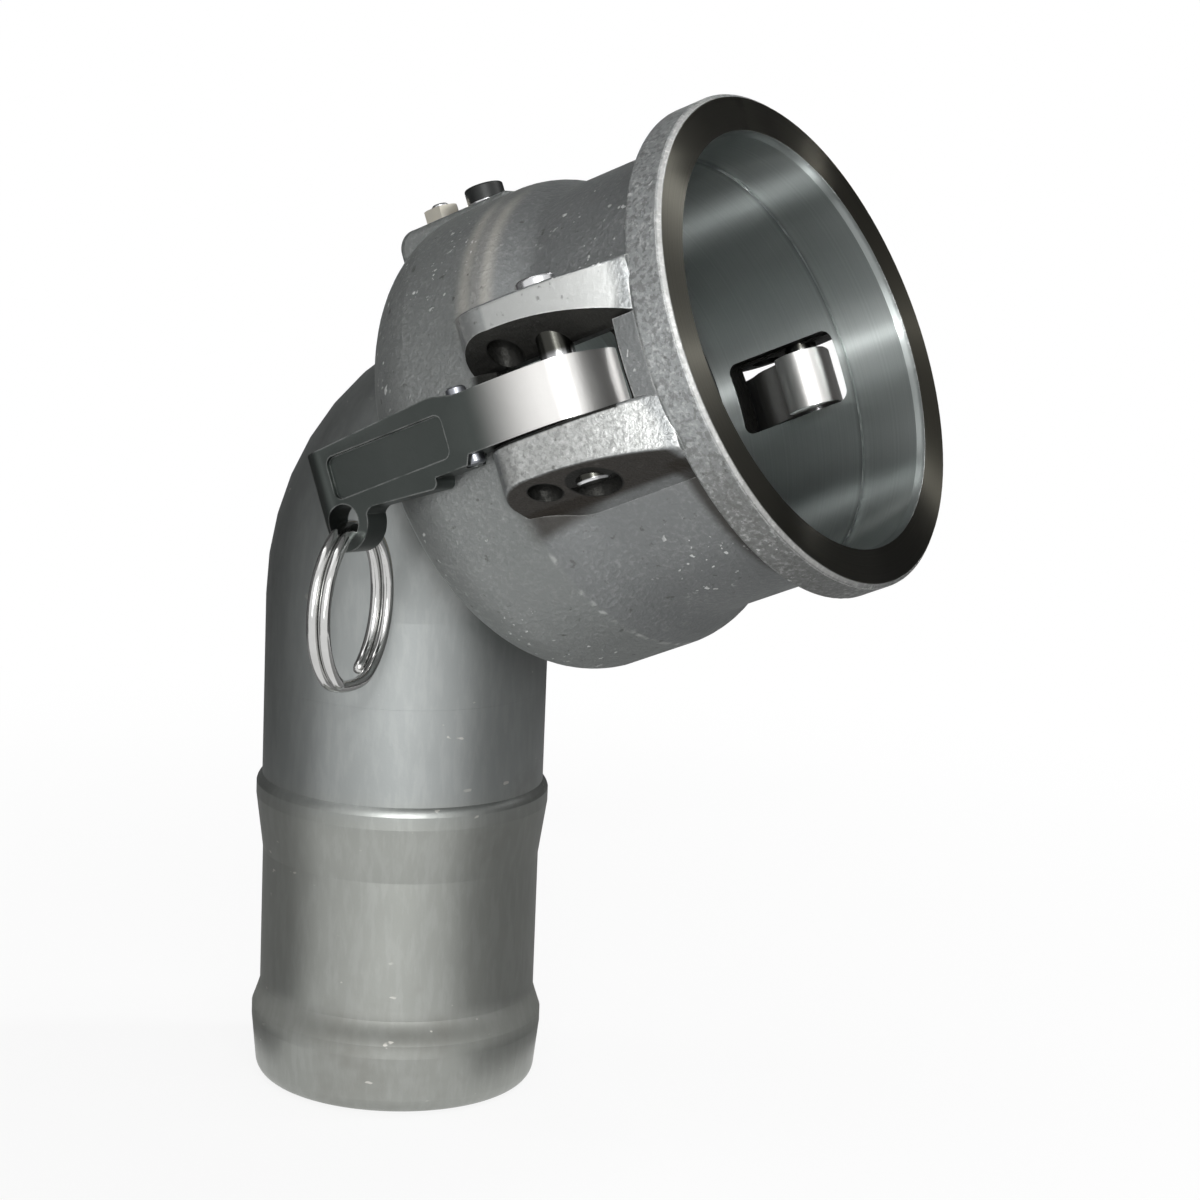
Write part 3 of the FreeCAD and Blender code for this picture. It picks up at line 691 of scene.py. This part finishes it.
def belt_highlight(tree, where, cloud):
    """Two painted highlight bands round the top of the bowl, either side of the bulge's crest."""
    lines = [soft_line(tree, where["Behind"], middle, width) for middle, width in BELT_LINES]
    wash = times(tree, soft_line(tree, where["Behind"], *BELT_WASH), BELT_WASH_SHARE)
    high = (above(tree, where["Along"], BELT_LOW), below(tree, where["Along"], BELT_HIGH))
    return times(tree, most(tree, *lines, wash), *high, spread(tree, cloud, *BELT_CLOUDS))


def ridge_highlight(tree, place, where):
    """Broken painted highlight along the line where the bulge ends below."""
    off = maths(tree, "ABSOLUTE", maths(tree, "SUBTRACT", where["Behind"], RIDGE_S))
    low = below(tree, where["Along"], RIDGE_ALONG)
    broken = above(tree, noise(tree, place, 330, 3), (0.42, 0.66))
    return times(tree, below(tree, off, RIDGE_WIDTH), low, broken)


def cast_colour(tree, place, where, skin, zone):
    """Grey blasted skin: bright grains and rubbed rims, dark pits, painted highlights on the bowl and the
    ears' crests, and painted shade under the ears, in creases and in holes.
    """
    rim, crest, smooth = zone["rim"], zone["crest"], zone["smooth"]
    cast = mix_colour(tree, skin["Cloud"], *CAST_PAIR)
    cast = lay(tree, cast, zone["front"], FRONT_TONE)
    # Painted highlight bands round the top of the bowl
    cast = lay(tree, cast, belt_highlight(tree, where, skin["Cloud"]), BELT_HIGHLIGHT_TONE)
    # Painted highlight on the ears' crests, over their lighter ground finish, weaker at the tips
    cast = lay(tree, cast, crest, CREST_GROUND_AND_HIGHLIGHT_TONE)
    cast = lay(tree, cast, zone["tip"], TIP_WEAKER_HIGHLIGHT_TONE)
    # Flange rim, painted darker as shade towards the bottom
    cast = mix_colour(tree, rim, cast, mix_colour(tree, zone["rim_low_shade"], *RIM_PAIR))

    dots = above(tree, noise(tree, place, 800, 3, 0.6), (0.48, 0.60))
    dotted = most(tree, times(tree, rim, DOTS_ON_RIM), times(tree, zone["low_crest"], DOTS_ON_LOW_CREST))
    speckle = mix_value(tree, most(tree, rim, crest), GRAINS_PLAIN, GRAINS_RUBBED)
    speckle = mix_value(tree, smooth, speckle, GRAINS_SMOOTH)
    sparks = times(tree, skin["Sparks"], mix_value(tree, smooth, SPARKS_SHARE, 0.0))
    cast = lay(tree, cast, times(tree, skin["Grains"], speckle), GRAIN_TONE)
    cast = lay(tree, cast, times(tree, dots, dotted), DOT_TONE)
    cast = lay(tree, cast, sparks, SPARK_TONE)
    cast = lay(tree, cast, skin["Pits"], PIT_TONE)

    # Painted shade on the ears' undersides
    cast = lay(tree, cast, zone["under"], UNDERSIDE_SHADE_TONE)
    cast = lay(tree, cast, zone["shaded"], SHADED_TONE)
    # Painted shade below the lower ear's foot and in the crease behind the flange
    cast = lay(tree, cast, zone["foot_and_crease_shade"], FOOT_AND_CREASE_SHADE_TONE)
    # Painted highlight where the bulge ends below
    cast = lay(tree, cast, ridge_highlight(tree, place, where), RIDGE_HIGHLIGHT_TONE)
    rubbed = times(
        tree,
        use_group(tree, "edge_wear", Place=place)["Worn"],
        opposite(tree, zone["under"]),
        mix_value(tree, rim, RUBBED_EDGES, RUBBED_RIM),
    )
    cast = lay(tree, cast, rubbed, RUBBED_TONE)
    # Painted shade in the holes and the pocket
    return lay(tree, cast, zone["hollow"], HOLLOW_SHADE_TONE)


def cast_bowl_steel():
    """Blasted casting outside with painted highlights and painted shade, its ears' crests ground and
    painted bright as a highlight; turned bore and front face.
    """
    mat, tree, shader, place = start_material("cast_bowl_steel", 1.0, 0.42)
    shader.inputs["Anisotropic"].default_value = 1.0
    where = use_group(tree, "coupler_place", Place=place)
    skin = use_group(tree, "cast_skin", Place=place, Grain=900.0)
    # The tangent takes no group's output, so the turned parts are measured in the material itself
    bore, face, lip, side = turned_parts(tree, place, measure_place(tree, place))
    turned_bore = use_group(tree, "turned_marks", Along=where["Behind"], Place=place, Pitch=0.0005)
    turned_face = use_group(tree, "turned_marks", Along=where["Radius"], Place=place, Pitch=0.0004)

    zone = cast_zones(tree, where)
    cast = cast_colour(tree, place, where, skin, zone)
    # Painted highlight on the face's outer lip, broken by the grains
    cast = lay(tree, cast, times(tree, lip, spread(tree, skin["Grains"], 0.5, 1.0)), LIP_HIGHLIGHT_TONE)
    bored = mix_colour(tree, turned_bore["Tone"], *BORE_PAIR)
    # Painted shade along the line where the bore steps at the land
    bored = lay(tree, bored, soft_line(tree, where["Behind"], LAND_S, LAND_LINE), LAND_SHADE_TONE)
    faced = mix_colour(tree, turned_face["Tone"], *FACE_PAIR)
    # Painted shade on the far side of the front face
    faced = lay(tree, faced, below(tree, side, FAR_FACE_SIDE), FAR_FACE_SHADE_TONE)
    handled = times(
        tree,
        above(tree, where["Along"], HANDLED_ALONG),
        above(tree, side, HANDLED_SIDE),
        above(tree, noise(tree, place, 70, 3), (0.30, 0.44)),
    )
    faced = lay(tree, faced, handled, HANDLED_TONE)
    colour = mix_colour(tree, face, mix_colour(tree, bore, cast, bored), faced)

    rough = spread(tree, skin["Cloud"], *CAST_ROUGH)
    height = times(tree, skin["Height"], spread(tree, zone["smooth"], 1.0, SMOOTH_SHARE))
    bore_height = times(tree, turned_bore["Height"], BORE_SHARE)
    face_height = times(tree, turned_face["Height"], FACE_SHARE)
    for mask, value in ((zone["crest"], CREST_ROUGH), (bore, BORE_ROUGH), (face, FACE_ROUGH)):
        rough = mix_value(tree, mask, rough, value)
    for mask, value in ((bore, bore_height), (face, face_height)):
        height = mix_value(tree, mask, height, value)
    link(tree, brushed_way(tree, place, bore, face), shader.inputs["Tangent"])
    finish_surface(tree, shader, colour, rough, height, *CAST_RELIEF)
    return mat


def satin_tube_steel():
    """Blasted and handled tube: elbow and shank."""
    mat, tree, shader, place = start_material("satin_tube_steel", 1.0, 0.45)
    skin = use_group(tree, "soft_mottle", Place=place, Size=34.0)
    where = use_group(tree, "coupler_place", Place=place)
    split = node(tree, "ShaderNodeSeparateXYZ")
    link(tree, place, split.inputs[0])
    level = split.outputs["Z"]
    strokes = node(tree, "ShaderNodeMapping")
    link(tree, place, strokes.inputs["Vector"])
    strokes.inputs["Rotation"].default_value = (0.5, 0.9, 0.3)
    strokes.inputs["Scale"].default_value = (1.0, 1.0, 0.22)

    stroked = above(tree, noise(tree, strokes.outputs["Vector"], 520, 3, 0.6), (0.42, 0.66))
    # Band on the barb's slope: rougher, and painted darker as shade to dim its highlight
    slope = soft_line(tree, level, *BARB_SLOPE)
    stain = above(tree, noise(tree, place, 17, 5, 0.65), (0.54, 0.72))
    nicks = noise(tree, vector_maths(tree, "MULTIPLY", place, (0.5, 0.5, 1.0)), 420, 2)
    nicks = times(tree, above(tree, nicks, (0.71, 0.74)), above(tree, skin["Cloud"], (0.50, 0.58)))
    shadow = times(
        tree,
        below(tree, where["Behind"], SHADOW_BEHIND),
        below(tree, where["Along"], SHADOW_ALONG),
    )

    colour = mix_colour(tree, skin["Cloud"], *TUBE_PAIR)
    colour = lay(tree, colour, skin["Smear"], SMEAR_TONE)
    tint = mix_colour(tree, above(tree, level, WARM_Z), *TUBE_TINTS)
    colour = vector_maths(tree, "MULTIPLY", colour, tint)
    for mask, tone in (
        (stroked, STROKE_TONE),
        (slope, SLOPE_SHADE_TONE),
        (stain, STAIN_TONE),
        (nicks, NICK_TONE),
        (shadow, SHADOW_TONE),
    ):
        colour = lay(tree, colour, mask, tone)
    rough = mix_value(tree, slope, spread(tree, skin["Smear"], *TUBE_ROUGH), SLOPE_ROUGH)
    finish_surface(tree, shader, colour, rough, skin["Tooth"], *SATIN_RELIEF)
    return mat


def forged_arm_steel():
    """Dark satin arm, rubbed bright and faintly warm round the cam."""
    mat, tree, shader, place = start_material("forged_arm_steel", 1.0, 0.34)
    where = use_group(tree, "coupler_place", Place=place)
    skin = use_group(tree, "soft_mottle", Place=place, Size=70.0)
    worn = below(tree, where["Behind"], CAM_BEHIND)
    dark = mix_colour(tree, skin["Cloud"], *ARM_DARK_PAIR)
    bright = mix_colour(tree, skin["Cloud"], *ARM_BRIGHT_PAIR)
    edges = use_group(tree, "edge_wear", Place=place)["Worn"]
    colour = lay(tree, mix_colour(tree, worn, dark, bright), edges, ARM_WEAR_TONE)
    rough = mix_value(tree, worn, spread(tree, skin["Smear"], *ARM_ROUGH), CAM_ROUGH)
    finish_surface(tree, shader, colour, rough, skin["Tooth"], *SATIN_RELIEF)
    return mat


def ground_pin_steel():
    """Ground pins, bright in the open, with painted shade under the ears and on their lower ends."""
    mat, tree, shader, place = start_material("ground_pin_steel", 1.0, 0.22)
    skin = use_group(tree, "soft_mottle", Place=place, Size=150.0)
    along = use_group(tree, "coupler_place", Place=place)["Along"]
    # Painted shade on the pins under the upper ear, at their tails and on their downward ends
    zones = [
        times(tree, above(tree, along, start), below(tree, along, end))
        for start, end in (PIN_UNDER_EAR, PIN_TAIL)
    ]
    dark = most(tree, above(tree, turned_to(tree, -PIN_WAY), PIN_UNDER_TURNED), *zones)
    colour = lay(tree, mix_colour(tree, skin["Cloud"], *PIN_PAIR), dark, PIN_SHADE_TONE)
    rough = spread(tree, skin["Smear"], *PIN_ROUGH)
    finish_surface(tree, shader, colour, rough, skin["Tooth"], *PIN_RELIEF)
    return mat


def plain_finish(name):
    """One of the plain mottled finishes."""
    metallic, roughness, size, pair, rough_range, tooth = PLAIN_FINISHES[name]
    mat, tree, shader, place = start_material(name, metallic, roughness)
    skin = use_group(tree, "soft_mottle", Place=place, Size=size)
    colour = mix_colour(tree, skin["Cloud"], *pair)
    rough = spread(tree, skin["Smear"], *rough_range)
    finish_surface(tree, shader, colour, rough, skin["Tooth"], *tooth)
    return mat


# Pieces

def round_edges(obj, width, segments, angle):
    """Small rounded edge wherever the surface turns by more than the angle."""
    rim = obj.modifiers.new("soft_edge", "BEVEL")
    rim.width = width
    rim.segments = segments
    rim.limit_method = "ANGLE"
    rim.angle_limit = math.radians(angle)
    rim.harden_normals = True


def dress(name, material, edge=0.0):
    """Gives a CAD node its finish and, where asked for, a small rounded edge."""
    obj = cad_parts[name]
    obj.data.materials.clear()
    obj.data.materials.append(material)
    if edge:
        round_edges(obj, edge, 2, 40)


def new_piece(name, mesh, material, body, *nodes):
    mesh.materials.clear()
    mesh.materials.append(material)
    piece = bpy.data.objects.new(name, mesh)
    bpy.context.collection.objects.link(piece)
    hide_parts(*nodes)
    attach(piece, body)
    return piece


def drum_curve(count=40):
    """Side profile of the cam's head, from the nose up and over to above the pin, as (o, s) pairs."""
    stops = [Vector(p) for p in DRUM_STOPS]
    curve = []
    for k in range(count + 1):
        u = k / count
        share = ((1 - u) ** 3, 3 * u * (1 - u) ** 2, 3 * u * u * (1 - u), u ** 3)
        spot = sum((w * p for w, p in zip(share, stops)), Vector((0, 0)))
        curve.append((spot.y, spot.x))
    return curve


def read_curve(curve, at):
    for (a, value_a), (b, value_b) in zip(curve, curve[1:]):
        if at <= b:
            return value_a + (value_b - value_a) * max(0.0, at - a) / (b - a)
    return curve[-1][1]


def forged_arm(side, material):
    """The arm with its cam's head fair and full, as the forging has it."""
    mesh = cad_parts["cam_arm_" + side].data.copy()
    mesh.name = "forged_arm_" + side
    outwards = NEAR_WAY if side == "near" else -NEAR_WAY
    bm = bmesh.new()
    bm.from_mesh(mesh)
    bmesh.ops.remove_doubles(bm, verts=bm.verts, dist=SAME_SPOT)

    def place(co):
        away = co - FACE
        return -away.dot(MOUTH_WAY), away.dot(outwards)

    def on_head(co):
        s, o = place(co)
        clear = math.hypot(s - PIN_S, o - PIN_O) > PIN_CLEARANCE
        return clear and s < PIN_S + ON_PIN_LINE and NOSE_END_O < o < HEAD_END_O

    def head_faces():
        return [f for f in bm.faces
                if all(on_head(v.co) for v in f.verts) and abs(f.normal.dot(PIN_WAY)) < 0.5]

    head = head_faces()
    for row in range(HEAD_ROWS):
        spot = FACE + outwards * (HEAD_ROW_START + HEAD_ROW_STEP * row)
        parts = set(head) | {e for f in head for e in f.edges} | {v for f in head for v in f.verts}
        bmesh.ops.bisect_plane(bm, geom=list(parts), dist=CUT_SLACK, plane_co=spot, plane_no=outwards)
        head = head_faces()
    curve = drum_curve()
    for vert in {v for f in head for v in f.verts}:
        s, o = place(vert.co)
        vert.co += MOUTH_WAY * (s - read_curve(curve, o))
    bm.normal_update()
    bm.to_mesh(mesh)
    bm.free()
    if "custom_normal" in mesh.attributes:
        mesh.attributes.remove(mesh.attributes["custom_normal"])
    mesh.shade_smooth()
    mesh.set_sharp_from_angle(angle=math.radians(35))
    piece = new_piece("forged_arm_" + side, mesh, material, "arm_" + side, "cam_arm_" + side)
    round_edges(piece, 0.0005, 3, 35)


def ring_line(count=150):
    """Wire of the split ring in its own plane: one turn, a step over, a second turn."""
    start, end = (math.radians(angle) for angle in RING_TURNS)
    over_start, over_length = (math.radians(angle) for angle in RING_STEP_OVER)
    line = []
    for k in range(count + 1):
        turn = start + (end - start) * k / count
        over = min(1.0, max(0.0, (turn - over_start) / over_length))
        rise = -RING_HALF + 2 * RING_HALF * over * over * (3 - 2 * over)
        line.append(Vector((rise, RING_R * math.sin(turn), -RING_R * math.cos(turn))))
    return line


def tube_mesh(name, line, radius, sides=14):
    """Round wire along a line of points, its two ends eased."""
    bm = bmesh.new()
    rings = []
    last = len(line) - 1
    across = Vector((1, 0, 0))
    for k, spot in enumerate(line):
        way = (line[min(k + 1, last)] - line[max(k - 1, 0)]).normalized()
        second = way.cross(across).normalized()
        first = second.cross(way)
        r = radius * (0.72 if k in (0, last) else 1.0)
        turns = [2 * math.pi * j / sides for j in range(sides)]
        rings.append([bm.verts.new(spot + (first * math.cos(a) + second * math.sin(a)) * r) for a in turns])
    for a, b in zip(rings, rings[1:]):
        for j in range(sides):
            bm.faces.new((a[j], a[(j + 1) % sides], b[(j + 1) % sides], b[j]))
    bm.faces.new(rings[0][::-1])
    bm.faces.new(rings[-1])
    bmesh.ops.recalc_face_normals(bm, faces=bm.faces)
    mesh = bpy.data.meshes.new(name)
    bm.to_mesh(mesh)
    bm.free()
    mesh.shade_smooth()
    return mesh


def split_ring(side, material):
    """Two turns of plated wire, hanging in the arm's eye and turned a little as it hangs."""
    low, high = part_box("pull_ring_" + side)
    middle = (Vector(low) + Vector(high)) / 2
    line = ring_line()
    lift = Vector(high).z - RING_DROP - max(p.z for p in line)
    turn = Matrix.Rotation(math.radians(RING_HANG[side]), 3, "Z")
    hang = Vector((middle.x, middle.y, lift))
    mesh = tube_mesh("split_ring_" + side, [hang + turn @ p for p in line], RING_WIRE_R)
    new_piece("split_ring_" + side, mesh, material, "ring_" + side, "pull_ring_" + side)


def dress_all():
    cast = cast_bowl_steel()
    tube = satin_tube_steel()
    arm = forged_arm_steel()
    pin = ground_pin_steel()
    wire = plain_finish("plated_ring_wire")
    dull = plain_finish("dull_pin_steel")
    dress("coupler_body", cast, 0.0003)
    dress("elbow_pipe", tube)
    dress("hose_shank", tube)
    dress("bowl_weld", plain_finish("weld_steel"))
    dress("gasket", plain_finish("nitrile_rubber"))
    dress("bond_screw", plain_finish("black_oxide"))
    dress("bond_washer", pin)
    dress("bond_stud", pin)
    dress("bond_nut", plain_finish("pale_brass"), 0.0002)
    for side in ("near", "far"):
        dress("cam_arm_" + side, arm)
        forged_arm(side, arm)
        dress("pivot_pin_" + side, pin)
        dress("cross_pin_" + side, dull)
        dress("pull_ring_" + side, wire)
        split_ring(side, wire)


# Floor and light

def white_share(tree):
    """1 for rays that see the background straight or in a reflection."""
    seen = node(tree, "ShaderNodeLightPath").outputs
    return most(tree, seen["Is Camera Ray"], seen["Is Glossy Ray"], seen["Is Transmission Ray"])


def mix_shaders(tree, share, first, second, target):
    """Mixes two shaders into the target, the second one by share."""
    both = node(tree, "ShaderNodeMixShader")
    link(tree, share, both.inputs[0])
    link(tree, first.outputs[0], both.inputs[1])
    link(tree, second.outputs[0], both.inputs[2])
    link(tree, both.outputs[0], target)


def lay_floor():
    mesh = bpy.data.meshes.new("floor")
    h = FLOOR_HALF
    mesh.from_pydata([(-h, -h, 0), (h, -h, 0), (h, h, 0), (-h, h, 0)], [], [(0, 1, 2, 3)])
    floor = bpy.data.objects.new("floor", mesh)
    bpy.context.collection.objects.link(floor)
    mat = bpy.data.materials.new("white_table")
    mat.use_nodes = True
    tree = mat.node_tree
    matt = tree.nodes["Principled BSDF"]
    matt.inputs["Base Color"].default_value = (0.85, 0.85, 0.85, 1)
    matt.inputs["Roughness"].default_value = 0.8
    glow = node(tree, "ShaderNodeEmission")
    glow.inputs["Color"].default_value = (1, 1, 1, 1)
    away = vector_maths(tree, "LENGTH", node(tree, "ShaderNodeTexCoord").outputs["Object"])
    open_floor = spread(tree, above(tree, away, (0.10, 0.45)), 0.84, 1.0)
    share = times(tree, white_share(tree), open_floor)
    mix_shaders(tree, share, matt, glow, tree.nodes["Material Output"].inputs["Surface"])
    mesh.materials.append(mat)


def set_world():
    """Soft grey fill, and plain white where the background is seen."""
    world = bpy.data.worlds.new("studio")
    world.use_nodes = True
    bpy.context.scene.world = world
    tree = world.node_tree
    fill = tree.nodes["Background"]
    white = node(tree, "ShaderNodeBackground")
    for background, strength in ((fill, 0.45), (white, 1.0)):
        background.inputs["Color"].default_value = (1, 1, 1, 1)
        background.inputs["Strength"].default_value = strength
    mix_shaders(tree, white_share(tree), fill, white, tree.nodes["World Output"].inputs["Surface"])


def polar(azimuth, elevation, distance):
    a, e = math.radians(azimuth), math.radians(elevation)
    way = Vector((math.sin(a) * math.cos(e), -math.cos(a) * math.cos(e), math.sin(e)))
    return Vector(MIDDLE) + distance * way


def soft_box(name, azimuth, elevation, distance, size, power, cone=180, target=MIDDLE):
    lamp = bpy.data.lights.new(name, "AREA")
    lamp.spread = math.radians(cone)
    lamp.shape = "RECTANGLE"
    lamp.size, lamp.size_y = size
    lamp.energy = power
    holder = bpy.data.objects.new(name, lamp)
    holder.location = polar(azimuth, elevation, distance)
    back = (holder.location - Vector(target)).normalized()
    holder.rotation_euler = back.to_track_quat("Z", "Y").to_euler()
    bpy.context.collection.objects.link(holder)


def flag(name, points, shade):
    """Grey flag that only reflections see, as a studio sets it round bright metal."""
    mesh = bpy.data.meshes.new(name)
    count = len(points) // 2
    quads = [(k, k + 1, count + k + 1, count + k) for k in range(count - 1)]
    mesh.from_pydata(points, [], quads)
    mat = bpy.data.materials.new(name)
    mat.use_nodes = True
    matt = mat.node_tree.nodes["Principled BSDF"]
    matt.inputs["Base Color"].default_value = (shade, shade, shade, 1)
    matt.inputs["Roughness"].default_value = 1.0
    matt.inputs["Specular IOR Level"].default_value = 0.0
    mesh.materials.append(mat)
    sheet = bpy.data.objects.new(name, mesh)
    bpy.context.collection.objects.link(sheet)
    sheet.visible_camera = False
    sheet.visible_diffuse = False
    sheet.visible_shadow = False


def upright_flag(name, start, end, radius, low, high, shade, steps=12):
    """Curved flag from azimuth start to end, standing round the object."""
    spots = []
    for z in (low, high):
        for k in range(steps + 1):
            turn = math.radians(start + (end - start) * k / steps)
            spots.append((0.03 + radius * math.sin(turn), -radius * math.cos(turn), z))
    flag(name, spots, shade)


def low_flag(name, steps=20):
    """Flat flag on the table round the shank's foot."""
    start, length = LOW_FLAG_TURN
    turns = [math.radians(start + length * k / steps) for k in range(steps + 1)]
    spots = [(r * math.sin(a), -r * math.cos(a), LOW_FLAG_Z) for r in LOW_FLAG_RADII for a in turns]
    flag(name, spots, LOW_FLAG_SHADE)


def light_studio():
    set_world()
    lay_floor()
    for name, setting in LAMPS.items():
        soft_box(name, *setting)
    for name, setting in UPRIGHT_FLAGS.items():
        upright_flag(name, *setting)
    flag("flag_above", *FLAG_ABOVE)
    low_flag("flag_low")
    bpy.context.scene.view_settings.view_transform = "Standard"


def main():
    place_camera()
    build_coupler_place()
    build_edge_wear()
    build_cast_skin()
    build_turned_marks()
    build_soft_mottle()
    dress_all()
    light_studio()


main()
